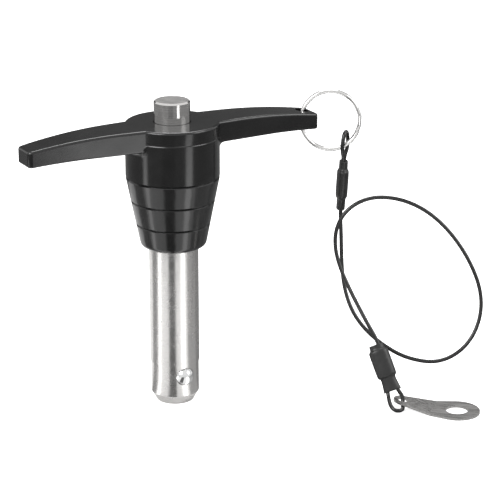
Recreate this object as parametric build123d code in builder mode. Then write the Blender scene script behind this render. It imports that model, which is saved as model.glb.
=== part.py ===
"""Ball lock pin with a T-handle, a push button and a wire lanyard, in millimetres.

The pin stands on the flat face of its tip. The origin is at the centre of that face, +Z runs up
the pin's axis and the handle's arms lie along X, with the lanyard on the +X arm. The two locking
balls look out along -Y and +Y.
"""
import math
import os

from build123d import *

# ---------------------------------------------------------------- driving dimensions
# Shank: one turned stainless tube, closed at the tip
shank_dia = 16.0
tip_flat_dia = 12.0
tip_angle = 30.0  # between the lead-in cone and the axis
shoulder_height = 52.5  # tip face to the underside of the handle
shank_relief = 0.2  # radial, round the staked mouths and under the handle
relief_margin = 0.7  # beyond the ball's top, where the full grip diameter begins
undercut_length = 0.5
shank_seat_dia = 15.0
shank_fit = 0.02  # radial, shank in the handle

# Balls, and the spindle whose cam pushes them out
ball_dia = 6.35
ball_height = 9.75
ball_protrusion = 1.6
ball_sink = 0.07  # how far below the shank's surface a drawn-in ball lies
ball_play = 0.06
cam_play = 0.05
button_travel = 5.0
land_dia = 6.4
land_length = 1.6
land_play = 0.15
neck_dia = 3.0
neck_margin = 0.3
foot_play = 0.3  # below the spindle when the button is pressed
guide_length = 6.0
rod_dia = 4.6
tenon_dia = 3.6
tenon_length = 7.0
tenon_fit = 0.01

# Handle: one T-shaped moulding with a tapered, grooved hub
hub_dia = 30.0
hub_foot_dia = 20.8
hub_length = 40.8
band_length = 7.7
band_count = 3
groove_width = 0.8
groove_depth = 0.45
seam_drop = 4.5
seam_depth = 0.12
seam_width = 0.4
hub_foot_round = 2.0
edge_round = 0.8
arm_reach = 50.8
arm_root_width = 14.8  # where the arm leaves the hub
arm_end_width = 9.3
arm_height = 7.0
arm_flat_reach = 19.6  # the top stays level up to here
arm_top_droop = 2.7
arm_under_flat_reach = 30.0
arm_under_droop = 0.9
arm_corner_round = 1.5
arm_root_fillet = 1.8
top_wall = 2.8
lanyard_hole_dia = 4.4
lanyard_hole_inset = 3.8  # from the end of the arm to the hole's axis

# Push button and its spring
button_dia = 11.6
button_rise = 6.9
button_rim = 0.5
button_play = 0.2  # radial, in the handle's top wall
flange_lip = 0.8  # how far the flange stands out from the button
flange_thickness = 2.0
flange_play = 0.2
flange_stop_play = 0.3  # above the shank when the button is pressed
boss_length = 2.5
boss_play = 0.5
spring_wire = 0.8
spring_dia = 8.2  # mean diameter of the coils
spring_turns = 8
spring_pocket_depth = 17.0
spring_pocket_play = 0.25
spring_end_play = 0.05

# Split ring through the end of the +X arm
ring_outer_dia = 20.3
ring_wire = 1.25
ring_layer_gap = 0.03
ring_turn = 28.4  # turned from the arm towards -Y
ring_lean = 6.0
ring_height = 87.9
ring_bias = 0.25  # the wire stands this far back from the hole's axis
ring_jog_angle = 20.0  # half the arc where the wire steps from one turn to the next
eye_angle = -57.0  # where the rope's eye hangs on the ring

# Lanyard: coated wire rope, with a crimped ferrule under a shrink sleeve at each end
rope_dia = 1.3
rope_play = 0.15
strand_spacing = 2.0
ferrule_length = 8.8
ferrule_width = 5.7
ferrule_thickness = 3.1
sleeve_width = 6.6
sleeve_thickness = 4.0
sleeve_play = 0.05
bulge_length = 9.9
bulge_shoulder = 0.6
collar_width = 4.8
collar_thickness = 2.9
flared_width = 5.9
flared_spacing = 3.3  # of the two strands at a flared mouth
ring_collar_length = 2.8
ring_tail_length = 3.8
tab_collar_length = 4.5
tab_tail_length = 1.5

# Fixing tab at the lanyard's free end, lying on its flat head
tab_thickness = 0.8
tab_head_dia = 14.8
tab_head_hole_dia = 7.2
tab_foot_dia = 6.0
tab_foot_hole_dia = 3.4
tab_length = 18.0  # between the two holes
tab_bend = 9.5
tab_bend_offset = 7.5  # from the head's hole to the bend
tab_turn = 14.8
tab_reach = 49.83
tab_out = 35.28

# ---------------------------------------------------------------- derived heights and radii
shank_radius = shank_dia / 2
relief_radius = shank_radius - shank_relief
seat_radius = shank_seat_dia / 2
tip_height = (relief_radius - tip_flat_dia / 2) / math.tan(math.radians(tip_angle))
hub_top = shoulder_height + hub_length
hub_radius = hub_dia / 2
taper_top = shoulder_height + band_length * band_count
arm_under = hub_top - arm_height

ball_radius = ball_dia / 2
grip_start = ball_height + ball_radius + relief_margin
ball_out = shank_radius + ball_protrusion - ball_radius
ball_in = shank_radius - ball_sink - ball_radius
cam_slope = (ball_out - ball_in) / button_travel
cam_angle = math.atan(cam_slope)
land_radius = land_dia / 2
neck_radius = neck_dia / 2
cam_radius_at_ball = ball_out - (ball_radius + cam_play) / math.cos(cam_angle)
cam_start = ball_height - (land_radius - cam_radius_at_ball) / cam_slope
cam_end = ball_height + (cam_radius_at_ball - neck_radius) / cam_slope
spindle_foot = cam_start - land_length
guide_start = ball_height + button_travel + ball_radius + neck_margin
guide_end = guide_start + guide_length
bore_floor = spindle_foot - button_travel - foot_play
bore_radius = land_radius + land_play

button_radius = button_dia / 2
flange_radius = button_radius + flange_lip
flange_top = hub_top - top_wall - flange_play
flange_under = flange_top - flange_thickness
shank_top = flange_under - button_travel - flange_stop_play
spring_seat = shank_top - spring_pocket_depth
spring_pocket_radius = (spring_dia + spring_wire) / 2 + spring_pocket_play
boss_radius = (spring_dia - spring_wire) / 2 - boss_play
boss_under = flange_under - boss_length
tenon_end = boss_under + tenon_length

lanyard_hole_x = arm_reach - lanyard_hole_inset


def profile(points):
    """The closed half-section through (radius, height) points, ready to turn about Z."""
    with BuildSketch(Plane.XZ) as half:
        with BuildLine():
            Polyline(*points, close=True)
        make_face()
    return half.sketch


# ---------------------------------------------------------------- shank
with BuildPart() as shank:
    shank_section = profile([
        (0, 0),
        (tip_flat_dia / 2, 0),
        (relief_radius, tip_height),
        (relief_radius, grip_start),
        (shank_radius, grip_start),
        (shank_radius, shoulder_height - undercut_length),
        (relief_radius, shoulder_height - undercut_length),
        (relief_radius, shoulder_height),
        (seat_radius, shoulder_height),
        (seat_radius, shank_top),
        (spring_pocket_radius, shank_top),
        (spring_pocket_radius, spring_seat),
        (bore_radius, spring_seat),
        (bore_radius, bore_floor),
        (0, bore_floor),
    ])
    revolve(shank_section, axis=Axis.Z)
    # each ball's cross hole ends in a staked mouth, narrower than the ball
    for side in (-1, 1):
        with BuildSketch(Plane((0, 0, ball_height), x_dir=(1, 0, 0), z_dir=(0, side, 0))):
            Circle(ball_radius + ball_play)
        extrude(amount=ball_out, mode=Mode.SUBTRACT)
        with Locations((0, side * ball_out, ball_height)):
            Sphere(ball_radius + ball_play, mode=Mode.SUBTRACT)
shank.part.label = "shank"

# ---------------------------------------------------------------- balls
with BuildPart() as ball_front:
    with Locations((0, -ball_out, ball_height)):
        Sphere(ball_radius)
ball_front.part.label = "ball_front"

with BuildPart() as ball_rear:
    with Locations((0, ball_out, ball_height)):
        Sphere(ball_radius)
ball_rear.part.label = "ball_rear"

# ---------------------------------------------------------------- spindle
with BuildPart() as spindle:
    spindle_section = profile([
        (0, spindle_foot),
        (land_radius, spindle_foot),
        (land_radius, cam_start),
        (neck_radius, cam_end),
        (neck_radius, guide_start),
        (land_radius, guide_start),
        (land_radius, guide_end),
        (rod_dia / 2, guide_end),
        (rod_dia / 2, boss_under),
        (tenon_dia / 2, boss_under),
        (tenon_dia / 2, tenon_end),
        (0, tenon_end),
    ])
    revolve(spindle_section, axis=Axis.Z)
spindle.part.label = "spindle"

# ---------------------------------------------------------------- button
with BuildPart() as button:
    button_top = hub_top + button_rise
    button_section = profile([
        (tenon_dia / 2 + tenon_fit, boss_under),
        (boss_radius, boss_under),
        (boss_radius, flange_under),
        (flange_radius, flange_under),
        (flange_radius, flange_top),
        (button_radius, flange_top),
        (button_radius, button_top - button_rim),
        (button_radius - button_rim, button_top),
        (0, button_top),
        (0, tenon_end),
        (tenon_dia / 2 + tenon_fit, tenon_end),
    ])
    revolve(button_section, axis=Axis.Z)
button.part.label = "button"

# ---------------------------------------------------------------- spring
with BuildPart() as spring:
    end_height = spring_seat + spring_wire / 2 + spring_end_play
    coil_height = flange_under - spring_wire / 2 - spring_end_play - end_height
    with BuildLine():
        coil = Helix(coil_height / spring_turns, coil_height, spring_dia / 2, (0, 0, end_height))
    with BuildSketch(Plane(coil @ 0, z_dir=coil % 0)):
        Circle(spring_wire / 2)
    sweep(path=coil, is_frenet=True)
spring.part.label = "spring"

# ---------------------------------------------------------------- handle
foot_radius = hub_foot_dia / 2
taper = (hub_radius - foot_radius) / (taper_top - shoulder_height)


def hub_surface(height):
    """Radius of the hub's cone, or of the cylinder above it."""
    return min(hub_radius, foot_radius + taper * (height - shoulder_height))


def notch(height, width, depth):
    """Three outline points of a V-groove round the hub."""
    below = height - width / 2
    above = height + width / 2
    return [
        (hub_surface(below), below),
        (hub_surface(height) - depth, height),
        (hub_surface(above), above),
    ]


with BuildPart() as handle:
    # one arm: its tapering plan, cut to a side view that droops towards the end
    width_rate = (arm_root_width - arm_end_width) / (arm_reach - hub_radius)
    middle_width = arm_end_width + width_rate * arm_reach
    with BuildSketch(Plane.XY.offset(arm_under - arm_height)):
        with BuildLine():
            Polyline(
                (0, -middle_width / 2),
                (arm_reach, -arm_end_width / 2),
                (arm_reach, arm_end_width / 2),
                (0, middle_width / 2),
                close=True,
            )
        make_face()
    extrude(amount=2 * arm_height)
    end_top = hub_top - arm_top_droop
    end_under = arm_under - arm_under_droop
    with BuildSketch(Plane.XZ):
        with BuildLine():
            Line((0, hub_top), (arm_flat_reach, hub_top))
            TangentArc((arm_flat_reach, hub_top), (arm_reach, end_top), tangent=(1, 0))
            Line((arm_reach, end_top), (arm_reach, end_under))
            TangentArc((arm_under_flat_reach, arm_under), (arm_reach, end_under), tangent=(1, 0))
            Line((arm_under_flat_reach, arm_under), (0, arm_under))
            Line((0, arm_under), (0, hub_top))
        make_face()
    extrude(amount=hub_dia, both=True, mode=Mode.INTERSECT)
    end_face = handle.faces().sort_by(Axis.X)[-1]
    fillet(end_face.edges().filter_by(Axis.Z), arm_corner_round)
    top_faces = handle.faces().filter_by(lambda face: face.normal_at().Z > 0.5)
    under_faces = handle.faces().filter_by(lambda face: face.normal_at().Z < -0.5)
    side_faces = handle.faces().filter_by(
        lambda face: abs(face.normal_at().Z) < 0.5 and face.center().X > 0.1
    )
    side_edges = side_faces.edges()
    rims = [edge for edge in (top_faces + under_faces).edges() if edge in side_edges]
    fillet(rims, edge_round)
    mirror(about=Plane.YZ)

    # the hub: a grooved cone under a plain cylinder with a moulding seam
    outline = [(0, shoulder_height), (foot_radius, shoulder_height)]
    for band in range(1, band_count + 1):
        outline += notch(shoulder_height + band * band_length, groove_width, groove_depth)
    outline += notch(hub_top - seam_drop, seam_width, seam_depth)
    outline += [(hub_radius, hub_top), (0, hub_top)]
    with BuildSketch(Plane.XZ) as hub_section:
        with BuildLine():
            Polyline(*outline, close=True)
        make_face()
        rim_corners = hub_section.vertices().filter_by(lambda v: v.X > 0.1)
        fillet(rim_corners.sort_by(Axis.Y)[0], hub_foot_round)
        rim_corners = hub_section.vertices().filter_by(lambda v: v.X > 0.1)
        fillet(rim_corners.sort_by(Axis.Y)[-1], edge_round)
    revolve(axis=Axis.Z)
    root_edges = handle.edges().filter_by(GeomType.CIRCLE).filter_by(
        lambda edge: abs(edge.center().Z - arm_under) < 0.01 and abs(edge.radius - hub_radius) < 0.01
    )
    fillet(root_edges, arm_root_fillet)

    # the shank's seat, the button's chamber and the hole in the top wall
    cavity = profile([
        (0, shoulder_height),
        (seat_radius + shank_fit, shoulder_height),
        (seat_radius + shank_fit, shank_top),
        (flange_radius + flange_play, shank_top),
        (flange_radius + flange_play, hub_top - top_wall),
        (button_radius + button_play, hub_top - top_wall),
        (button_radius + button_play, hub_top),
        (0, hub_top),
    ])
    revolve(cavity, axis=Axis.Z, mode=Mode.SUBTRACT)
    with BuildSketch(Plane.XY.offset(arm_under - arm_height)):
        with Locations((lanyard_hole_x, 0)):
            Circle(lanyard_hole_dia / 2)
    extrude(amount=2 * arm_height, mode=Mode.SUBTRACT)
handle.part.label = "handle"

# ---------------------------------------------------------------- the lanyard's upright plane
# it stands on the hole's axis: x runs outwards, y runs up and z comes out of the plane
heading = math.radians(ring_turn)
outwards = Vector(math.cos(heading), -math.sin(heading), 0)
forwards = Vector(-math.sin(heading), -math.cos(heading), 0)
lanyard_plane = Plane((lanyard_hole_x, 0, 0), x_dir=outwards, z_dir=forwards)


def hang(out, height, forward):
    """World position of a point given in the lanyard's plane."""
    return lanyard_plane.from_local_coords(Vector(out, height, forward))


# ---------------------------------------------------------------- split ring
ring_radius = (ring_outer_dia - ring_wire) / 2
ring_centre = hang(ring_radius - ring_bias, ring_height, 0)
lean = math.radians(ring_lean)
ring_normal = forwards * math.cos(lean) + Vector(0, 0, math.sin(lean))
ring_plane = Plane(ring_centre, x_dir=outwards, z_dir=ring_normal)

with BuildPart() as split_ring:
    layer = (ring_wire + ring_layer_gap) / 2
    turn_arc = 360 - 2 * ring_jog_angle
    with BuildLine(ring_plane) as ring_path:
        back_turn = CenterArc((0, 0, -layer), ring_radius, ring_jog_angle, turn_arc)
        front_turn = CenterArc((0, 0, layer), ring_radius, ring_jog_angle, turn_arc)
    leave = back_turn @ 1
    arrive = front_turn @ 0
    jog_lead = ring_radius * math.tan(math.radians(ring_jog_angle)) / 2
    with BuildLine() as jog:
        FilletPolyline(
            leave,
            leave + (back_turn % 1) * jog_lead,
            arrive - (front_turn % 0) * jog_lead,
            arrive,
            radius=2 * ring_wire,
        )
    ring_wire_path = Wire([back_turn, *jog.edges(), front_turn])
    with BuildSketch(Plane(back_turn @ 0, z_dir=back_turn % 0)):
        Circle(ring_wire / 2)
    sweep(path=ring_wire_path)
split_ring.part.label = "split_ring"

# ---------------------------------------------------------------- where the lanyard's ends sit
eye_turn = math.radians(eye_angle)
eye = ring_plane.from_local_coords(
    Vector(ring_radius * math.cos(eye_turn), ring_radius * math.sin(eye_turn), 0)
)
eye_spot = lanyard_plane.to_local_coords(eye)


def near_eye(out, height, forward):
    """World position of a point given from the middle of the ring's wire at the eye."""
    return hang(eye_spot.X + out, eye_spot.Y + height, eye_spot.Z + forward)


tab_heading = math.radians(tab_turn)
bend = math.radians(tab_bend)
foot_length = tab_length - tab_bend_offset
foot_run = tab_bend_offset + foot_length * math.cos(bend)
foot_out = tab_reach - foot_run * math.cos(tab_heading)
foot_forward = tab_out - foot_run * math.sin(tab_heading)


def near_tab(out, height, forward):
    """World position of a point given from below the hole in the tab's foot."""
    return hang(foot_out + out, height, foot_forward + forward)


def along(plane, distance, sideways):
    """World position of a strand inside a sleeve, by distance from the sleeve's first mouth."""
    return plane.from_local_coords(Vector(sideways, 0, distance))


# ---------------------------------------------------------------- sleeves and ferrules
def sleeve_plane(start, end, wide):
    """Plane at a sleeve's first mouth, z along the sleeve and x across its two strands."""
    run = (end - start).normalized()
    across = (wide - run * wide.dot(run)).normalized()
    return Plane(start, x_dir=across, z_dir=run)


def slot(plane, distance, width, thickness):
    """Oval section of a sleeve, ferrule or strand hole."""
    with BuildSketch(plane.offset(distance)) as oval:
        SlotOverall(width, thickness)
    return oval.sketch


ring_sleeve_length = ring_collar_length + bulge_length + ring_tail_length
ring_sleeve_top = near_eye(-0.66, -5.45, 0)
ring_sleeve_foot = near_eye(-1.56, -5.45 - ring_sleeve_length, 0.47)
ring_end = sleeve_plane(ring_sleeve_top, ring_sleeve_foot, forwards)
ring_layout = (ring_collar_length, ring_tail_length, collar_width, strand_spacing)

tab_sleeve_top = near_tab(-8.57, 18.9, -6.72)
tab_sleeve_foot = near_tab(-3.17, 5.2, -0.72)
tab_end = sleeve_plane(tab_sleeve_top, tab_sleeve_foot, outwards)
tab_layout = (tab_tail_length, tab_collar_length, flared_width, flared_spacing)

hole_width = strand_spacing + rope_dia + 2 * rope_play
hole_thickness = rope_dia + 2 * rope_play


def sleeve_stations(layout):
    """Distances of a sleeve's shoulders and far mouth from its first mouth."""
    bulge_start = layout[0]
    bulge_end = bulge_start + bulge_length
    return bulge_start, bulge_end, bulge_end + layout[1]


def ferrule_start(layout):
    """Distance of the ferrule from the sleeve's first mouth."""
    return layout[0] + (bulge_length - ferrule_length) / 2


def sleeve_outside(plane, layout):
    """Sections, in pairs to be lofted, of the shrink sleeve's outside."""
    bulge_start, bulge_end, far_mouth = sleeve_stations(layout)
    stations = [
        (0, collar_width, collar_thickness),
        (bulge_start, collar_width, collar_thickness),
        (bulge_start + bulge_shoulder, sleeve_width, sleeve_thickness),
        (bulge_end - bulge_shoulder, sleeve_width, sleeve_thickness),
        (bulge_end, collar_width, collar_thickness),
        (far_mouth, layout[2], collar_thickness),
    ]
    ovals = [slot(plane, *station) for station in stations]
    return zip(ovals, ovals[1:])


def sleeve_inside(plane, layout):
    """Sections, in pairs, of the ferrule's pocket and of the strands' way through."""
    bulge_start, bulge_end, far_mouth = sleeve_stations(layout)
    start = ferrule_start(layout) - sleeve_play
    end = start + ferrule_length + 2 * sleeve_play
    pocket = (ferrule_width + 2 * sleeve_play, ferrule_thickness + 2 * sleeve_play)
    flare = layout[3] - strand_spacing
    return [
        (slot(plane, start, *pocket), slot(plane, end, *pocket)),
        (
            slot(plane, 0, hole_width, hole_thickness),
            slot(plane, bulge_end, hole_width, hole_thickness),
        ),
        (
            slot(plane, bulge_end, hole_width, hole_thickness),
            slot(plane, far_mouth, hole_width + flare, hole_thickness),
        ),
    ]


with BuildPart() as sleeve_ring_end:
    for section, next_section in sleeve_outside(ring_end, ring_layout):
        loft([section, next_section])
    for section, next_section in sleeve_inside(ring_end, ring_layout):
        loft([section, next_section], mode=Mode.SUBTRACT)
sleeve_ring_end.part.label = "sleeve_ring_end"

with BuildPart() as sleeve_tab_end:
    for section, next_section in sleeve_outside(tab_end, tab_layout):
        loft([section, next_section])
    for section, next_section in sleeve_inside(tab_end, tab_layout):
        loft([section, next_section], mode=Mode.SUBTRACT)
sleeve_tab_end.part.label = "sleeve_tab_end"

with BuildPart() as ferrule_ring_end:
    with BuildSketch(ring_end.offset(ferrule_start(ring_layout))):
        SlotOverall(ferrule_width, ferrule_thickness)
        SlotOverall(hole_width, hole_thickness, mode=Mode.SUBTRACT)
    extrude(amount=ferrule_length)
ferrule_ring_end.part.label = "ferrule_ring_end"

with BuildPart() as ferrule_tab_end:
    with BuildSketch(tab_end.offset(ferrule_start(tab_layout))):
        SlotOverall(ferrule_width, ferrule_thickness)
        SlotOverall(hole_width, hole_thickness, mode=Mode.SUBTRACT)
    extrude(amount=ferrule_length)
ferrule_tab_end.part.label = "ferrule_tab_end"

# ---------------------------------------------------------------- wire rope
strand = strand_spacing / 2
ring_sleeve_end = sleeve_stations(ring_layout)[2]
tab_ferrule_end = ferrule_start(tab_layout) + ferrule_length
tab_mouth = sleeve_stations(tab_layout)[2]
flared_strand = flared_spacing / 2
dead_end_inset = 0.5  # the rope's cut end, inside the sleeve's mouth
mouth_run = 0.6  # straight rope beyond a sleeve's mouth
ferrule_run = 0.3  # straight rope beyond the ferrule
flare_run = 0.4
flare_spread = 0.1
rope_points = [
    # the dead end, up through the ring's sleeve and over the split ring
    along(ring_end, ring_sleeve_end - dead_end_inset, strand),
    along(ring_end, -mouth_run, strand),
    near_eye(-1.3, -1.9, 2.3),
    near_eye(-1.1, 2.0, 2.0),
    near_eye(-0.5, 4.2, 0.8),
    near_eye(0.2, 4.2, -0.9),
    near_eye(0.7, 2.0, -2.0),
    near_eye(0.6, -1.9, -2.2),
    along(ring_end, -mouth_run, -strand),
    along(ring_end, ring_sleeve_end + mouth_run, -strand),
    # the loose coil
    hang(13.2, 50.0, 2.8),
    hang(13.3, 42.5, 5.2),
    hang(13.8, 35.2, 8.2),
    hang(15.6, 28.6, 11.4),
    hang(18.7, 23.4, 14.0),
    hang(22.9, 19.3, 16.3),
    hang(27.6, 16.0, 18.0),
    hang(32.5, 13.5, 19.4),
    hang(37.7, 12.0, 20.1),
    hang(43.2, 11.4, 20.3),
    hang(48.6, 12.6, 19.6),
    hang(53.5, 15.8, 18.2),
    hang(57.2, 20.8, 16.4),
    hang(59.1, 27.4, 14.3),
    hang(58.6, 34.2, 12.2),
    hang(56.0, 41.0, 10.3),
    hang(52.2, 47.5, 8.7),
    hang(47.6, 53.2, 7.4),
    hang(42.2, 58.0, 6.3),
    hang(36.2, 61.3, 5.5),
    hang(29.8, 63.1, 5.0),
    hang(23.2, 63.3, 5.2),
    hang(17.5, 61.3, 5.8),
    hang(13.3, 57.5, 6.5),
    hang(11.1, 52.3, 7.2),
    hang(11.0, 46.6, 8.5),
    hang(12.6, 41.0, 10.8),
    hang(15.2, 35.5, 13.6),
    hang(18.2, 30.2, 17.0),
    hang(21.2, 25.2, 20.5),
    # down through the tab's sleeve, and round the edge of the tab's foot
    along(tab_end, -dead_end_inset, strand),
    along(tab_end, tab_ferrule_end + ferrule_run, strand),
    along(tab_end, tab_mouth + flare_run, flared_strand + flare_spread),
    near_tab(0.15, 3.3, -0.6),
    near_tab(0.05, 1.1, 0.6),
    near_tab(0.05, 0.7, 2.5),
    near_tab(-0.25, 0.7, 4.3),
    near_tab(-1.5, 0.7, 5.4),
    near_tab(-3.0, 0.9, 5.2),
    near_tab(-4.0, 1.7, 3.8),
    near_tab(-4.5, 2.9, 1.7),
    along(tab_end, tab_mouth + flare_run, -flared_strand - flare_spread),
    along(tab_end, tab_ferrule_end + ferrule_run, -strand),
    along(tab_end, dead_end_inset, -strand),
]


def bend_radius(before, corner, after):
    """The largest arc that two runs allow, leaving a straight tenth between arcs."""
    arriving = corner - before
    leaving = after - corner
    half_turn = math.radians(arriving.get_angle(leaving)) / 2
    return 0.45 * min(arriving.length, leaving.length) / math.tan(half_turn)


rope_radii = [bend_radius(*corner) for corner in zip(rope_points, rope_points[1:], rope_points[2:])]
print("rope bend radii:", [round(radius, 1) for radius in rope_radii])

with BuildPart() as wire_rope:
    with BuildLine() as rope_line:
        FilletPolyline(*rope_points, radius=rope_radii)
    rope_path = rope_line.wires()[0]
    with BuildSketch(Plane(rope_path @ 0, z_dir=rope_path % 0)):
        Circle(rope_dia / 2)
    sweep(path=rope_path)
wire_rope.part.label = "wire_rope"
rope_section = math.pi * (rope_dia / 2) ** 2
volume_share = wire_rope.part.volume / rope_section / rope_path.length
print("rope length:", round(rope_path.length, 1), "volume share:", round(volume_share, 4))

# ---------------------------------------------------------------- tab
along_tab = outwards * math.cos(tab_heading) + forwards * math.sin(tab_heading)
tab_plane = Plane(hang(tab_reach, 0, tab_out), x_dir=along_tab, z_dir=(0, 0, 1))
bend_point = tab_plane.from_local_coords(Vector(-tab_bend_offset, 0, 0))
foot_along = along_tab * math.cos(bend) - Vector(0, 0, math.sin(bend))
foot_normal = along_tab * math.sin(bend) + Vector(0, 0, math.cos(bend))
foot_plane = Plane(bend_point, x_dir=foot_along, z_dir=foot_normal)


def tab_outline(plane, head_x, cut_align):
    """The flat tab's outline on one side of its bend line, both holes out."""
    with BuildSketch(plane) as blank:
        with Locations((head_x, 0)):
            Circle(tab_head_dia / 2)
        with Locations((head_x - tab_length, 0)):
            Circle(tab_foot_dia / 2)
        make_hull()
        with Locations((head_x, 0)):
            Circle(tab_head_hole_dia / 2, mode=Mode.SUBTRACT)
        with Locations((head_x - tab_length, 0)):
            Circle(tab_foot_hole_dia / 2, mode=Mode.SUBTRACT)
        with Locations((head_x - tab_bend_offset, 0)):
            Rectangle(
                2 * tab_length,
                2 * tab_head_dia,
                align=(cut_align, Align.CENTER),
                mode=Mode.SUBTRACT,
            )
    return blank.sketch


with BuildPart() as tab:
    extrude(tab_outline(tab_plane, 0, Align.MAX), amount=tab_thickness)
    extrude(tab_outline(foot_plane, tab_bend_offset, Align.MIN), amount=tab_thickness)
tab.part.label = "tab"

# ---------------------------------------------------------------- one file for each piece
pieces = [
    handle,
    shank,
    spindle,
    button,
    spring,
    ball_front,
    ball_rear,
    split_ring,
    wire_rope,
    ferrule_ring_end,
    ferrule_tab_end,
    sleeve_ring_end,
    sleeve_tab_end,
    tab,
]
os.makedirs("parts", exist_ok=True)
for piece in pieces:
    export_step(piece.part, f"parts/{piece.part.label}.step")
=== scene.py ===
# %% [markdown]
# # A ball lock pin and its finishes
# A ball lock pin is a quick-release fastener. Two steel balls near its tip lock it behind the last
# plate, and pressing the button in the handle lets them sink into the shank. This one has a glossy
# black T-handle, a ground steel shank and a lanyard of black coated wire rope, with a split ring
# at the handle and a fixing tab at the free end.
#
# The engineering model is loaded first and stays as a fixed frame, in metres. Each rigid part of it
# whose shape is right keeps its mesh and gets a finish. The flexible rope and the parts with soft
# or rounded forms are made here.

# %% Load the engineering model
import math

import bmesh
import bpy
from mathutils import Matrix, Vector


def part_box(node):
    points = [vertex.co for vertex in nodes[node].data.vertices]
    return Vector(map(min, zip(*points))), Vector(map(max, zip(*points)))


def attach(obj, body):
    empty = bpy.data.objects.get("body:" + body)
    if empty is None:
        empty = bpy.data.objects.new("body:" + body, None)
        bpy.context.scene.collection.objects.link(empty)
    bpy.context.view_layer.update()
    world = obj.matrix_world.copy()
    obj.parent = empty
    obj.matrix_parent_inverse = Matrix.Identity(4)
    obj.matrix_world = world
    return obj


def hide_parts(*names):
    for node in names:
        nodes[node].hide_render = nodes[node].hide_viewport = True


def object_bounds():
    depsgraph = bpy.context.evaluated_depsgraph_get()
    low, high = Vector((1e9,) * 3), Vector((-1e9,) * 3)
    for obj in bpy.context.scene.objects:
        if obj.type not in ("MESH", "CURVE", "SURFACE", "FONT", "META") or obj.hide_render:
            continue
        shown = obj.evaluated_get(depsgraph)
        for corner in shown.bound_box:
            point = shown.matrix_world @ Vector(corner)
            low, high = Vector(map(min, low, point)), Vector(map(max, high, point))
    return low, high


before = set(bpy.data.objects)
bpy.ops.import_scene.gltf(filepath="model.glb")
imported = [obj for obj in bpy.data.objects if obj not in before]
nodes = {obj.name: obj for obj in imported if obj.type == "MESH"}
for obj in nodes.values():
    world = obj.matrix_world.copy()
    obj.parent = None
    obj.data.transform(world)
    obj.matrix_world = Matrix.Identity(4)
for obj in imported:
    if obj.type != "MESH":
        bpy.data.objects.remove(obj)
cad_box = [list(corner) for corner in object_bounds()]

# %% [markdown]
# ## Camera
# The camera comes first, because everything after it is judged through it. A long lens from far
# away keeps the pin's sides nearly parallel. The camera looks at a point
# half way up the pin and a little towards the lanyard, from the left and slightly above.

# %% Place the camera
MM = 0.001
VIEW_TURN = math.radians(28.4)
VIEW_RISE = math.radians(18.0)
CAMERA_DISTANCE = 683 * MM
LENS = 153.3
look_at = Vector((21.55, -11.65, 50.7)) * MM
towards_camera = Vector(
    (
        -math.sin(VIEW_TURN) * math.cos(VIEW_RISE),
        -math.cos(VIEW_TURN) * math.cos(VIEW_RISE),
        math.sin(VIEW_RISE),
    )
)
camera_data = bpy.data.cameras.new("camera")
camera_data.lens = LENS
camera_data.sensor_width = 36
camera_data.clip_start = 0.01
camera = bpy.data.objects.new("camera", camera_data)
camera.location = look_at + towards_camera * CAMERA_DISTANCE
camera.rotation_euler = (-towards_camera).to_track_quat("-Z", "Y").to_euler()
bpy.context.scene.collection.objects.link(camera)
bpy.context.scene.camera = camera
bpy.context.scene.view_settings.view_transform = "Standard"
print("camera at", [round(value, 3) for value in camera.location])

# %% [markdown]
# ## The lanyard's own plane
# The lanyard hangs in an upright plane that stands on the lanyard hole's axis and is turned 28.4
# degrees from the arm. Its points are easier to read there: outwards, up and forwards. The function
# below takes such a point, in millimetres, into the frame. The ring and the tab give two more
# starting points, where the rope's two eyes hang.

# %% Lanyard plane
LANYARD_HOLE_X = 47.0
RING_TURN = math.radians(28.4)
outwards = Vector((math.cos(RING_TURN), -math.sin(RING_TURN), 0))
forwards = Vector((-math.sin(RING_TURN), -math.cos(RING_TURN), 0))
upwards = Vector((0, 0, 1))


def hang(out, height, forward):
    """Frame position, in metres, of a point given in the lanyard's plane in millimetres."""
    start = Vector((LANYARD_HOLE_X, 0, 0))
    return (start + outwards * out + upwards * height + forwards * forward) * MM


RING_OUTER = 20.3
RING_WIRE = 1.25
RING_LEAN = math.radians(6.0)
RING_HEIGHT = 87.9
RING_BIAS = 0.25
EYE_ANGLE = math.radians(-57.0)
ring_radius = (RING_OUTER - RING_WIRE) / 2
eye_out = ring_radius - RING_BIAS + ring_radius * math.cos(EYE_ANGLE)
eye_height = RING_HEIGHT + ring_radius * math.sin(EYE_ANGLE) * math.cos(RING_LEAN)
eye_forward = -ring_radius * math.sin(EYE_ANGLE) * math.sin(RING_LEAN)


def near_eye(out, height, forward):
    """Position of a point given from the ring's wire, where the rope's eye hangs."""
    return hang(eye_out + out, eye_height + height, eye_forward + forward)


TAB_LENGTH = 18.0
TAB_BEND = math.radians(9.5)
TAB_BEND_OFFSET = 7.5
TAB_TURN = math.radians(14.8)
TAB_REACH = 49.83
TAB_OUT = 35.28
foot_run = TAB_BEND_OFFSET + (TAB_LENGTH - TAB_BEND_OFFSET) * math.cos(TAB_BEND)
foot_out = TAB_REACH - foot_run * math.cos(TAB_TURN)
foot_forward = TAB_OUT - foot_run * math.sin(TAB_TURN)


def near_tab(out, height, forward):
    """Position of a point given from below the small hole in the tab's foot."""
    return hang(foot_out + out, height, foot_forward + forward)


print("eye of the rope at", near_eye(0, 0, 0), "tab's foot at", near_tab(0, 0, 0))

# %% [markdown]
# ## Where the sleeves lie
# Each end of the rope runs through a crimped ferrule under a shrink sleeve. A sleeve's frame has its
# origin at the first mouth, z along the sleeve and x across its two strands, so that both the rope
# and the sleeve can be placed with it.

# %% Sleeve frames
COLLARS = {"ring": (2.8, 3.8), "tab": (1.5, 4.5)}
BULGE_LENGTH = 9.9
FERRULE_LENGTH = 8.8
STRAND = 1.0
FLARED_STRAND = 1.65


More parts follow.
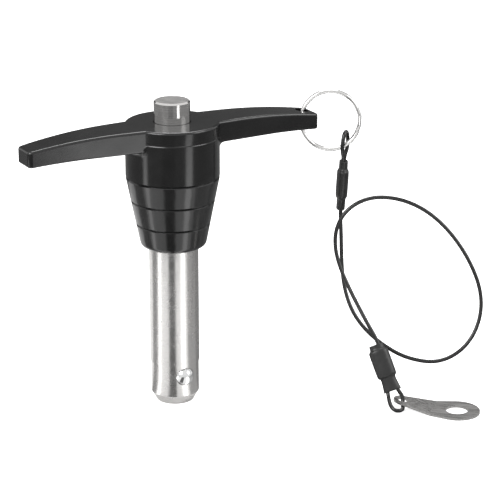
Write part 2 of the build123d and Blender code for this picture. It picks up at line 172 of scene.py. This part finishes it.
def sleeve_frame(start, end, wide):
    """Matrix of a sleeve: origin at its first mouth, x across the strands and z along it."""
    run = (end - start).normalized()
    across = (wide - run * wide.dot(run)).normalized()
    side = run.cross(across)
    return Matrix.Translation(start) @ Matrix((across, side, run)).transposed().to_4x4()


ring_sleeve_length = COLLARS["ring"][0] + BULGE_LENGTH + COLLARS["ring"][1]
ring_end = sleeve_frame(
    near_eye(-0.66, -5.45, 0), near_eye(-1.56, -5.45 - ring_sleeve_length, 0.47), forwards
)
tab_end = sleeve_frame(near_tab(-8.57, 18.9, -6.72), near_tab(-3.17, 5.2, -0.72), outwards)


def along(place, distance, sideways):
    """Position of a strand inside a sleeve, by its distance from the first mouth."""
    return place @ (Vector((sideways, 0, distance)) * MM)


ring_mouth = ring_sleeve_length
tab_ferrule_end = COLLARS["tab"][0] + (BULGE_LENGTH + FERRULE_LENGTH) / 2
tab_mouth = COLLARS["tab"][0] + BULGE_LENGTH + COLLARS["tab"][1]
print("sleeves start at", along(ring_end, 0, 0), along(tab_end, 0, 0))

# %% [markdown]
# ## The wire rope
# The rope is one piece of nylon-coated wire rope, 1.3 mm thick. It could be a swept mesh, but a
# NURBS curve with a round bevel is the plain way to draw a bent wire: its points pull the line
# smoothly, it never kinks, and its length can be measured. The route starts at the dead end inside
# the first sleeve, goes round the split ring, makes the loose coil and ends inside the second
# sleeve, after passing through the tab's small hole. The thickness is written as each point's
# radius, with a bevel depth of 1, so that the curve's box is as slim as the rope.

# %% Rope route and curve
ROPE_DIAMETER = 1.3
rope_points = [
    along(ring_end, ring_mouth - 0.5, STRAND),
    along(ring_end, -0.6, STRAND),
    near_eye(-1.3, -1.9, 2.3),
    near_eye(-1.1, 2.0, 2.0),
    near_eye(-0.5, 4.2, 0.8),
    near_eye(0.2, 4.2, -0.9),
    near_eye(0.7, 2.0, -2.0),
    near_eye(0.6, -1.9, -2.2),
    along(ring_end, -0.6, -STRAND),
    along(ring_end, ring_mouth + 0.6, -STRAND),
    hang(13.2, 50.0, 2.8),
    hang(13.3, 42.5, 5.2),
    hang(13.8, 35.2, 8.2),
    hang(15.6, 28.6, 11.4),
    hang(18.7, 23.4, 14.0),
    hang(22.9, 19.3, 16.3),
    hang(27.6, 16.0, 18.0),
    hang(32.5, 13.5, 19.4),
    hang(37.7, 12.0, 20.1),
    hang(43.2, 11.4, 20.3),
    hang(48.6, 12.6, 19.6),
    hang(53.5, 15.8, 18.2),
    hang(57.2, 20.8, 16.4),
    hang(59.1, 27.4, 14.3),
    hang(58.6, 34.2, 12.2),
    hang(56.0, 41.0, 10.3),
    hang(52.2, 47.5, 8.7),
    hang(47.6, 53.2, 7.4),
    hang(42.2, 58.0, 6.3),
    hang(36.2, 61.3, 5.5),
    hang(29.8, 63.1, 5.0),
    hang(23.2, 63.3, 5.2),
    hang(17.5, 61.3, 5.8),
    hang(13.3, 57.5, 6.5),
    hang(11.1, 52.3, 7.2),
    hang(11.0, 46.6, 8.5),
    hang(12.6, 41.0, 10.8),
    hang(15.2, 35.5, 13.6),
    hang(18.2, 30.2, 17.0),
    hang(21.2, 25.2, 20.5),
    along(tab_end, -0.5, STRAND),
    along(tab_end, tab_ferrule_end + 0.3, STRAND),
    along(tab_end, tab_mouth + 0.4, FLARED_STRAND + 0.1),
    near_tab(0.15, 3.3, -0.6),
    near_tab(0.05, 1.1, 0.6),
    near_tab(0.05, 0.7, 2.5),
    near_tab(-0.25, 0.7, 4.3),
    near_tab(-1.5, 0.7, 5.4),
    near_tab(-3.0, 0.9, 5.2),
    near_tab(-4.0, 1.7, 3.8),
    near_tab(-4.5, 2.9, 1.7),
    along(tab_end, tab_mouth + 0.4, -FLARED_STRAND - 0.1),
    along(tab_end, tab_ferrule_end + 0.3, -STRAND),
    along(tab_end, 0.5, -STRAND),
]
rope_curve = bpy.data.curves.new("rope", "CURVE")
rope_curve.dimensions = "3D"
rope_curve.bevel_depth = 1.0
rope_curve.bevel_resolution = 4
rope_curve.use_fill_caps = True
rope_line = rope_curve.splines.new("NURBS")
rope_line.points.add(len(rope_points) - 1)
for point, place in zip(rope_line.points, rope_points):
    point.co = (*place, 1)
    point.radius = ROPE_DIAMETER / 2 * MM
rope_line.order_u = 3
rope_line.use_endpoint_u = True
rope_line.resolution_u = 12
rope = bpy.data.objects.new("rope", rope_curve)
bpy.context.scene.collection.objects.link(rope)
print("rope through", len(rope_points), "points,", round(rope_line.calc_length() / MM, 1), "mm")

# %% [markdown]
# ## Shrink sleeves
# Each ferrule is hidden by a black shrink sleeve: a round tube before heating, it clings to the
# oval ferrule and draws in over the two strands beside it. A stack of oval rings, bridged into a
# skin and subdivided, follows that shape closely. The ends turn inwards, so that each mouth
# shows the thickness of its wall.

# %% Helpers for skins made of rings
def finish_piece(shape, name):
    """Turn a bmesh into a smooth-shaded object at the origin."""
    bmesh.ops.recalc_face_normals(shape, faces=shape.faces)
    mesh = bpy.data.meshes.new(name)
    shape.to_mesh(mesh)
    shape.free()
    mesh.shade_smooth()
    piece = bpy.data.objects.new(name, mesh)
    bpy.context.scene.collection.objects.link(piece)
    return piece


RING_POINTS = 28


def ring_of_points(shape, place, distance, width, thickness):
    """Oval ring of edges across a sleeve."""
    scale = Matrix.Diagonal((width / 2 * MM, thickness / 2 * MM, 1, 1))
    at = place @ Matrix.Translation((0, 0, distance * MM)) @ scale
    ring = bmesh.ops.create_circle(shape, segments=RING_POINTS, radius=1, matrix=at)
    return list({edge for vertex in ring["verts"] for edge in vertex.link_edges})


# %% Sleeve skins
COLLAR = (4.8, 2.9)
BULGE = (6.6, 4.0)
SHOULDER = 0.6
MOUTHS = {"ring": COLLAR, "tab": (5.9, 2.9)}
WALL = 0.35
INSIDE_DEPTH = 1.2


def shrink_sleeve(name, place, end):
    """Sleeve skin: collar, bulge over the ferrule, collar, with both mouths turned in."""
    first, last = COLLARS[end]
    bulge_end = first + BULGE_LENGTH
    mouth = bulge_end + last
    wide, thick = MOUTHS[end]
    inner = (COLLAR[0] - 2 * WALL, COLLAR[1] - 2 * WALL)
    inner_mouth = (wide - 2 * WALL, thick - 2 * WALL)
    sections = [
        (INSIDE_DEPTH, *inner),
        (0.0, *inner),
        (0.0, *COLLAR),
        (0.15, *COLLAR),
        (first - 0.25, *COLLAR),
        (first + 0.15, COLLAR[0] + 0.5, COLLAR[1] + 0.3),
        (first + SHOULDER, BULGE[0] - 0.25, BULGE[1] - 0.15),
        (first + SHOULDER + 0.5, *BULGE),
        (first + BULGE_LENGTH / 2, *BULGE),
        (bulge_end - SHOULDER - 0.5, *BULGE),
        (bulge_end - SHOULDER, BULGE[0] - 0.25, BULGE[1] - 0.15),
        (bulge_end - 0.15, COLLAR[0] + 0.5, COLLAR[1] + 0.3),
        (bulge_end + 0.25, *COLLAR),
        (mouth - 0.15, wide, thick),
        (mouth, wide, thick),
        (mouth, *inner_mouth),
        (mouth - INSIDE_DEPTH, *inner_mouth),
    ]
    shape = bmesh.new()
    rings = [ring_of_points(shape, place, *section) for section in sections]
    for ring, next_ring in zip(rings, rings[1:]):
        bmesh.ops.bridge_loops(shape, edges=ring + next_ring)
    for ring in (rings[0], rings[-1]):
        bmesh.ops.contextual_create(shape, geom=ring)
    sleeve = finish_piece(shape, name)
    soften = sleeve.modifiers.new("soften", "SUBSURF")
    soften.levels = soften.render_levels = 2
    print(name, len(sleeve.data.polygons), "faces before subdivision")
    return sleeve


ring_sleeve = shrink_sleeve("shrink_sleeve_ring", ring_end, "ring")
tab_sleeve = shrink_sleeve("shrink_sleeve_tab", tab_end, "tab")

# %% [markdown]
# ## The lanyard's body
# The rope hangs from the split ring and ends at the tab, with a ferrule and a sleeve at each end.
# The rope and both sleeves are put on one body, the lanyard, and the engineering model's own rope
# and sleeves are hidden.

# %% Bodies and stand-ins
for piece, node in ((ring_sleeve, "sleeve_ring_end"), (tab_sleeve, "sleeve_tab_end")):
    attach(piece, "lanyard")
    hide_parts(node)
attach(rope, "lanyard")
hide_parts("wire_rope")

# %% [markdown]
# ## Material helpers
# Every finish starts from the same few steps, so they are written once: a material with a
# Principled shader, and a way to place a node and join two of them.

# %% Material helpers
def start_material(name, colour, metallic, roughness):
    """New material, with its Principled shader's plain values set."""
    material = bpy.data.materials.new(name)
    material.use_nodes = True
    shader = material.node_tree.nodes["Principled BSDF"]
    shader.inputs["Base Color"].default_value = (*colour, 1)
    shader.inputs["Metallic"].default_value = metallic
    shader.inputs["Roughness"].default_value = roughness
    return material, material.node_tree, shader


def add(tree, kind, **values):
    """Place a node and set its inputs by name."""
    node = tree.nodes.new(kind)
    for name, value in values.items():
        node.inputs[name.replace("_", " ")].default_value = value
    return node


def math_node(tree, operation, first, second):
    """A Math node whose inputs are numbers or sockets."""
    node = tree.nodes.new("ShaderNodeMath")
    node.operation = operation
    for slot, value in zip(node.inputs, (first, second)):
        if isinstance(value, (int, float)):
            slot.default_value = value
        else:
            tree.links.new(value, slot)
    return node.outputs[0]


def start_group(name, inputs, outputs):
    """New shader node group with named number inputs and outputs."""
    group = bpy.data.node_groups.new(name, "ShaderNodeTree")
    for label, value in inputs:
        socket = group.interface.new_socket(label, in_out="INPUT", socket_type="NodeSocketFloat")
        socket.default_value = value
    for label in outputs:
        group.interface.new_socket(label, in_out="OUTPUT", socket_type="NodeSocketFloat")
    return group, group.nodes.new("NodeGroupInput"), group.nodes.new("NodeGroupOutput")


def use_group(tree, group, **values):
    """Place a node group in a material with its own values."""
    node = tree.nodes.new("ShaderNodeGroup")
    node.node_tree = group
    for name, value in values.items():
        node.inputs[name.replace("_", " ")].default_value = value
    return node


# %% [markdown]
# ## Turned finish
# Shank, button and spindle come off a lathe. The tool leaves fine rings round the axis, on the
# sides and on the end faces alike. Noise read by the distance from the axis and the height, and
# hardly at all by the direction, draws such rings.

# %% Group: turned lines
turned, entry, exit_node = start_group(
    "Turned lines", [("Fineness", 5000.0), ("Blotches", 260.0)], ["Lines", "Blotch"]
)
coordinates = turned.nodes.new("ShaderNodeTexCoord")
parts = turned.nodes.new("ShaderNodeSeparateXYZ")
turned.links.new(coordinates.outputs["Object"], parts.inputs[0])
across = math_node(turned, "MULTIPLY", parts.outputs["X"], parts.outputs["X"])
deep = math_node(turned, "MULTIPLY", parts.outputs["Y"], parts.outputs["Y"])
radius = math_node(turned, "SQRT", math_node(turned, "ADD", across, deep), 0.0)
height = math_node(turned, "ADD", parts.outputs["Z"], radius)
lines = add(turned, "ShaderNodeTexNoise", Detail=3.0, Roughness=0.6)
lines.noise_dimensions = "1D"
turned.links.new(height, lines.inputs["W"])
turned.links.new(entry.outputs["Fineness"], lines.inputs["Scale"])
blotch = add(turned, "ShaderNodeTexNoise", Detail=2.0)
turned.links.new(coordinates.outputs["Object"], blotch.inputs["Vector"])
turned.links.new(entry.outputs["Blotches"], blotch.inputs["Scale"])
turned.links.new(lines.outputs[0], exit_node.inputs["Lines"])
turned.links.new(blotch.outputs[0], exit_node.inputs["Blotch"])
print("group:", turned.name)

# %% [markdown]
# ## Handling marks
# Nothing that is used stays evenly shiny. Fingers leave smears a few millimetres wide, and
# moulding leaves a very fine unevenness. One group gives both, for black and bright parts.

# %% Group: handling marks
handled, entry, exit_node = start_group(
    "Handling marks", [("Smear Scale", 90.0), ("Skin Scale", 900.0)], ["Smear", "Skin"]
)
coordinates = handled.nodes.new("ShaderNodeTexCoord")
smear = add(handled, "ShaderNodeTexNoise", Detail=5.0, Roughness=0.65, Distortion=0.8)
skin = add(handled, "ShaderNodeTexNoise", Detail=2.0)
for texture, label in ((smear, "Smear Scale"), (skin, "Skin Scale")):
    handled.links.new(coordinates.outputs["Object"], texture.inputs["Vector"])
    handled.links.new(entry.outputs[label], texture.inputs["Scale"])
handled.links.new(smear.outputs[0], exit_node.inputs["Smear"])
handled.links.new(skin.outputs[0], exit_node.inputs["Skin"])
print("group:", handled.name)


# %% Helpers: vary the roughness and raise a bump
def vary_roughness(tree, shader, mask, low, high):
    """Roughness that follows a mask between two values."""
    spread = add(tree, "ShaderNodeMapRange", From_Min=0.3, From_Max=0.7, To_Min=low, To_Max=high)
    tree.links.new(mask, spread.inputs["Value"])
    tree.links.new(spread.outputs[0], shader.inputs["Roughness"])


def raise_bump(tree, shader, mask, strength, distance):
    """Bump from a mask, with its depth in metres."""
    bump = add(tree, "ShaderNodeBump", Strength=strength, Distance=distance)
    tree.links.new(mask, bump.inputs["Height"])
    tree.links.new(bump.outputs[0], shader.inputs["Normal"])


def vary_colour(tree, shader, mask, dark, light):
    """Base colour that follows a mask between two colours."""
    ramp = tree.nodes.new("ShaderNodeValToRGB")
    ramp.color_ramp.elements[0].position = 0.3
    ramp.color_ramp.elements[1].position = 0.7
    ramp.color_ramp.elements[0].color = (*dark, 1)
    ramp.color_ramp.elements[1].color = (*light, 1)
    tree.links.new(mask, ramp.inputs[0])
    tree.links.new(ramp.outputs[0], shader.inputs["Base Color"])


# %% [markdown]
# ## Metals
# The shank is centreless ground and dull bright, the button a little finer, and the balls and the
# split ring are polished. They differ in how rough they are and how deep their rings are cut.

# %% Turned steels
def turned_steel(name, dark, light, low, high, depth, fineness):
    """Steel with rings round its axis."""
    material, tree, shader = start_material(name, light, 1.0, low)
    marks = use_group(tree, turned, Fineness=fineness)
    vary_colour(tree, shader, marks.outputs["Lines"], dark, light)
    vary_roughness(tree, shader, marks.outputs["Blotch"], low, high)
    raise_bump(tree, shader, marks.outputs["Lines"], 0.5, depth)
    return material


ground_steel = turned_steel(
    "Ground shank", (0.50, 0.49, 0.48), (0.66, 0.65, 0.64), 0.2, 0.3, 4e-6, 5000.0
)
button_steel = turned_steel(
    "Turned button", (0.52, 0.51, 0.50), (0.74, 0.73, 0.72), 0.1, 0.16, 3e-6, 4200.0
)
spindle_steel = turned_steel(
    "Spindle steel", (0.4, 0.4, 0.39), (0.55, 0.54, 0.53), 0.22, 0.34, 4e-6, 5000.0
)


# %% [markdown]
# The button's end face was cut by a tool that moved inwards, and its spiral is coarser than the
# rings on the side. Seen low, it scatters the light from above and looks pale. The same material
# tells the two apart by their height: only the end face lies at the button's top.

# %% Pale end face of the button
END_FACE_DEPTH = 0.05 * MM
END_FACE_ROUGHNESS = 0.2
tree = button_steel.node_tree
shader = tree.nodes["Principled BSDF"]
coordinates = tree.nodes.new("ShaderNodeTexCoord")
parts = tree.nodes.new("ShaderNodeSeparateXYZ")
tree.links.new(coordinates.outputs["Object"], parts.inputs[0])
button_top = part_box("button")[1][2]
end_face = math_node(tree, "GREATER_THAN", parts.outputs["Z"], button_top - END_FACE_DEPTH)
side_roughness = shader.inputs["Roughness"].links[0].from_socket
extra = math_node(tree, "MULTIPLY", end_face, END_FACE_ROUGHNESS)
tree.links.new(math_node(tree, "ADD", side_roughness, extra), shader.inputs["Roughness"])
print("button top at", round(button_top, 4))


# %% [markdown]
# Balls, split ring, spring and ferrules have no turning rings. Their small unevenness comes from
# the handling marks instead, at a scale that suits such small parts.

# %% Polished and drawn metals
def polished_metal(name, dark, light, low, high, depth):
    """Bright metal with faint handling marks."""
    material, tree, shader = start_material(name, light, 1.0, low)
    marks = use_group(tree, handled, Smear_Scale=400.0, Skin_Scale=2500.0)
    vary_colour(tree, shader, marks.outputs["Smear"], dark, light)
    vary_roughness(tree, shader, marks.outputs["Smear"], low, high)
    raise_bump(tree, shader, marks.outputs["Skin"], 0.2, depth)
    return material


ball_steel = polished_metal("Polished ball", (0.66, 0.66, 0.66), (0.8, 0.8, 0.8), 0.04, 0.1, 1e-6)
ring_steel = polished_metal("Ring wire", (0.58, 0.58, 0.57), (0.76, 0.75, 0.74), 0.1, 0.2, 3e-6)
spring_steel = polished_metal("Spring wire", (0.4, 0.4, 0.4), (0.55, 0.55, 0.54), 0.2, 0.3, 3e-6)
aluminium = polished_metal("Ferrule", (0.6, 0.6, 0.61), (0.78, 0.78, 0.79), 0.3, 0.45, 8e-6)

# %% [markdown]
# ## Brushed tab
# The tab is stamped from rolled strip, so its grain runs along it. Noise stretched along the tab's
# length gives that grain. A Mapping node turns the pattern to the tab's direction.

# %% Brushed tab
tab_steel, tree, shader = start_material("Rolled tab", (0.6, 0.59, 0.58), 1.0, 0.3)
coordinates = tree.nodes.new("ShaderNodeTexCoord")
stretch = add(tree, "ShaderNodeMapping", Scale=(120, 4500, 4500))
to_tab = tree.nodes.new("ShaderNodeVectorRotate")
to_tab.rotation_type = "Z_AXIS"
to_tab.inputs["Angle"].default_value = RING_TURN + TAB_TURN
tree.links.new(coordinates.outputs["Object"], to_tab.inputs["Vector"])
tree.links.new(to_tab.outputs[0], stretch.inputs["Vector"])
grain = add(tree, "ShaderNodeTexNoise", Scale=1.0, Detail=3.0)
tree.links.new(stretch.outputs[0], grain.inputs["Vector"])
vary_colour(tree, shader, grain.outputs[0], (0.42, 0.41, 0.4), (0.68, 0.67, 0.66))
vary_roughness(tree, shader, grain.outputs[0], 0.24, 0.4)
raise_bump(tree, shader, grain.outputs[0], 0.4, 5e-6)
print("brushed:", tab_steel.name)


# %% [markdown]
# ## Black parts
# The handle is a glossy black moulding. The rope's nylon coat is as glossy, and the shrink sleeves
# are satin. All three take their unevenness from the handling marks, at their own scale.

# %% Black parts
def black_part(name, dark, light, low, high, smear, skin, depth):
    """Black plastic with smears in its gloss and a faint skin."""
    material, tree, shader = start_material(name, light, 0.0, low)
    marks = use_group(tree, handled, Smear_Scale=smear, Skin_Scale=skin)
    vary_colour(tree, shader, marks.outputs["Smear"], dark, light)
    vary_roughness(tree, shader, marks.outputs["Smear"], low, high)
    raise_bump(tree, shader, marks.outputs["Skin"], 0.3, depth)
    return material


handle_black = black_part(
    "Glossy handle", (0.004, 0.004, 0.004), (0.008, 0.008, 0.008), 0.14, 0.22, 70.0, 700.0, 2e-5
)
rope_black = black_part(
    "Rope coat", (0.002, 0.002, 0.002), (0.005, 0.005, 0.005), 0.2, 0.3, 300.0, 1500.0, 2e-5
)
sleeve_black = black_part(
    "Shrink sleeve", (0.003, 0.003, 0.003), (0.009, 0.009, 0.009), 0.3, 0.44, 260.0, 600.0, 1.6e-4
)

# %% [markdown]
# ## Dress the engineering parts
# The engineering parts are made of loose flat triangles. Their meshes stay as they are, and three
# modifiers make them look turned and moulded: one joins the triangles, one splits them again at
# real corners, and one evens out the shading between.

# %% Dress the parts
finishes = {
    "handle": handle_black,
    "shank": ground_steel,
    "spindle": spindle_steel,
    "button": button_steel,
    "spring": spring_steel,
    "ball_front": ball_steel,
    "ball_rear": ball_steel,
    "split_ring": ring_steel,
    "ferrule_ring_end": aluminium,
    "ferrule_tab_end": aluminium,
    "tab": tab_steel,
}


JOIN_DISTANCE = 0.001 * MM
CORNER_ANGLE = math.radians(28)


def dress(node, material):
    """Give a carried-over part its material, and smooth its curved faces but not its corners."""
    slots = node.data.materials
    if slots:
        slots[0] = material
    else:
        slots.append(material)
    weld = node.modifiers.new("join facets", "WELD")
    weld.merge_threshold = JOIN_DISTANCE
    split = node.modifiers.new("keep corners", "EDGE_SPLIT")
    split.split_angle = CORNER_ANGLE
    split.use_edge_sharp = False
    even = node.modifiers.new("even shading", "WEIGHTED_NORMAL")
    even.keep_sharp = True


for name, material in finishes.items():
    dress(nodes[name], material)
rope_curve.materials.append(rope_black)
for sleeve in (ring_sleeve, tab_sleeve):
    sleeve.data.materials.append(sleeve_black)
print("dressed", len(finishes), "parts")

# %% [markdown]
# ## Studio
# The pin stands on a plain white floor in front of a plain white world. What the camera sees of the
# floor gets a little light of its own, so that it comes out white while it keeps the pin's shadow.

# %% Floor and world
FLOOR_HALF = 1.5
FLOOR_DROP = 0.02 * MM
FLOOR_GLOW = 0.7
ROOM_LIGHT = 0.8
floor_shape = bmesh.new()
bmesh.ops.create_grid(floor_shape, x_segments=1, y_segments=1, size=FLOOR_HALF)
bmesh.ops.translate(floor_shape, verts=floor_shape.verts, vec=(0, 0, cad_box[0][2] - FLOOR_DROP))
floor = finish_piece(floor_shape, "floor")
floor_white, tree, shader = start_material("Floor", (0.8, 0.8, 0.8), 0.0, 0.9)
ray = tree.nodes.new("ShaderNodeLightPath")
seen = math_node(tree, "MAXIMUM", ray.outputs["Is Camera Ray"], ray.outputs["Is Transmission Ray"])
own_light = math_node(tree, "MULTIPLY", seen, FLOOR_GLOW)
shader.inputs["Emission Color"].default_value = (1, 1, 1, 1)
tree.links.new(own_light, shader.inputs["Emission Strength"])
floor.data.materials.append(floor_white)

world = bpy.data.worlds.new("studio")
bpy.context.scene.world = world
world.use_nodes = True
tree = world.node_tree
background = tree.nodes["Background"]
ray = tree.nodes.new("ShaderNodeLightPath")
seen = math_node(tree, "MAXIMUM", ray.outputs["Is Camera Ray"], ray.outputs["Is Transmission Ray"])
seen = math_node(tree, "MAXIMUM", seen, ray.outputs["Is Glossy Ray"])
level = add(tree, "ShaderNodeMapRange", To_Min=ROOM_LIGHT, To_Max=1.0)
tree.links.new(seen, level.inputs["Value"])
tree.links.new(level.outputs[0], background.inputs["Strength"])
background.inputs["Color"].default_value = (1, 1, 1, 1)
print("floor at", round(cad_box[0][2], 5))


# %% [markdown]
# ## Reflection cards
# Bright metal shows what stands round it, and a plain white room leaves it flat. In a studio, bright
# and dark cards stand beside the piece. Here they lie on the floor as sectors round the pin's
# axis and are seen in reflections only. An upright turned surface mirrors a sector as a straight
# band along its whole length. The angles are counted from the camera's side, positive to its right.

# %% Cards on the floor
def card_material(name, glow):
    """Surface that only glows, at a plain level."""
    material, tree, shader = start_material(name, (0, 0, 0), 0.0, 1.0)
    shader.inputs["Specular IOR Level"].default_value = 0
    shader.inputs["Emission Color"].default_value = (1, 1, 1, 1)
    shader.inputs["Emission Strength"].default_value = glow
    return material


def only_in_reflections(card):
    """Hide a card from everything but glossy rays."""
    card.visible_camera = False
    card.visible_diffuse = False
    card.visible_shadow = False
    card.visible_transmission = False


CARD_STEPS = 12


def floor_card(name, first, last, near, far, glow, lift):
    """Sector of the floor between two angles from the camera's side and two distances in mm."""
    towards = Vector((-math.sin(VIEW_TURN), -math.cos(VIEW_TURN), 0))
    start = Matrix.Rotation(math.radians(first), 3, "Z") @ towards
    shape = bmesh.new()
    ends = [shape.verts.new(start * reach * MM + upwards * lift * MM) for reach in (near, far)]
    edge = shape.edges.new(ends)
    bmesh.ops.spin(
        shape,
        geom=[*ends, edge],
        cent=(0, 0, 0),
        axis=(0, 0, 1),
        angle=math.radians(last - first),
        steps=CARD_STEPS,
        use_merge=False,
    )
    card = finish_piece(shape, name)
    card.data.materials.append(card_material(name, glow))
    only_in_reflections(card)
    return card


floor_card("card_outer", -180, 180, 190, 900, 0.3, 0.05)
floor_card("card_camera_side", -22, 8, 9, 400, 0.16, 0.1)
floor_card("card_behind", 112, 176, 9, 190, 0.3, 0.1)
floor_card("card_left_side", -112, -78, 9, 190, 0.42, 0.1)
floor_card("card_right_side", 62, 112, 9, 190, 0.5, 0.1)
floor_card("card_left_strip", -71, -61, 9, 400, 3.2, 0.15)
floor_card("card_right_strip", 34, 50, 9, 400, 3.2, 0.15)

# %% [markdown]
# ## Dark panel behind
# The flat tops of the handle mirror what stands far behind the pin. A dark panel there keeps them
# black, with only their rounded edges bright.

# %% Panel behind
PANEL_DISTANCE = 0.9
PANEL_HEIGHT = 0.75
PANEL_WIDTH = 1.6
PANEL_GLOW = 0.16
panel_shape = bmesh.new()
bmesh.ops.create_grid(panel_shape, x_segments=1, y_segments=1, size=0.5)
bmesh.ops.scale(panel_shape, verts=panel_shape.verts, vec=(PANEL_WIDTH, PANEL_HEIGHT, 1))
stand_up = Matrix.Rotation(math.pi / 2, 4, "X")
behind = Matrix.Rotation(-VIEW_TURN, 4, "Z") @ Matrix.Translation(
    (0, PANEL_DISTANCE, PANEL_HEIGHT / 2)
)
bmesh.ops.transform(panel_shape, matrix=behind @ stand_up, verts=panel_shape.verts)
panel = finish_piece(panel_shape, "card_panel")
panel.data.materials.append(card_material("card_panel", PANEL_GLOW))
only_in_reflections(panel)
print("panel behind at", PANEL_DISTANCE, "m")

# %% [markdown]
# ## Lights
# Three soft boxes: one high on the left, one on the right and one overhead, behind the pin, which
# draws the thin bright line along the handle's upper edges.

# %% Soft boxes
def soft_box(name, turn, rise, distance, size, power):
    """Square area light aimed at the middle of the pin."""
    light = bpy.data.lights.new(name, "AREA")
    light.size = size
    light.energy = power
    box = bpy.data.objects.new(name, light)
    around = math.radians(turn)
    up = math.radians(rise)
    away = Vector(
        (math.sin(around) * math.cos(up), -math.cos(around) * math.cos(up), math.sin(up))
    )
    box.location = look_at + away * distance
    box.rotation_euler = (-away).to_track_quat("-Z", "Y").to_euler()
    bpy.context.scene.collection.objects.link(box)
    return box


soft_box("key", -75, 40, 0.6, 0.3, 2.2)
soft_box("fill", 50, 35, 0.7, 0.35, 1.6)
soft_box("overhead", 150, 65, 0.6, 0.35, 2.0)
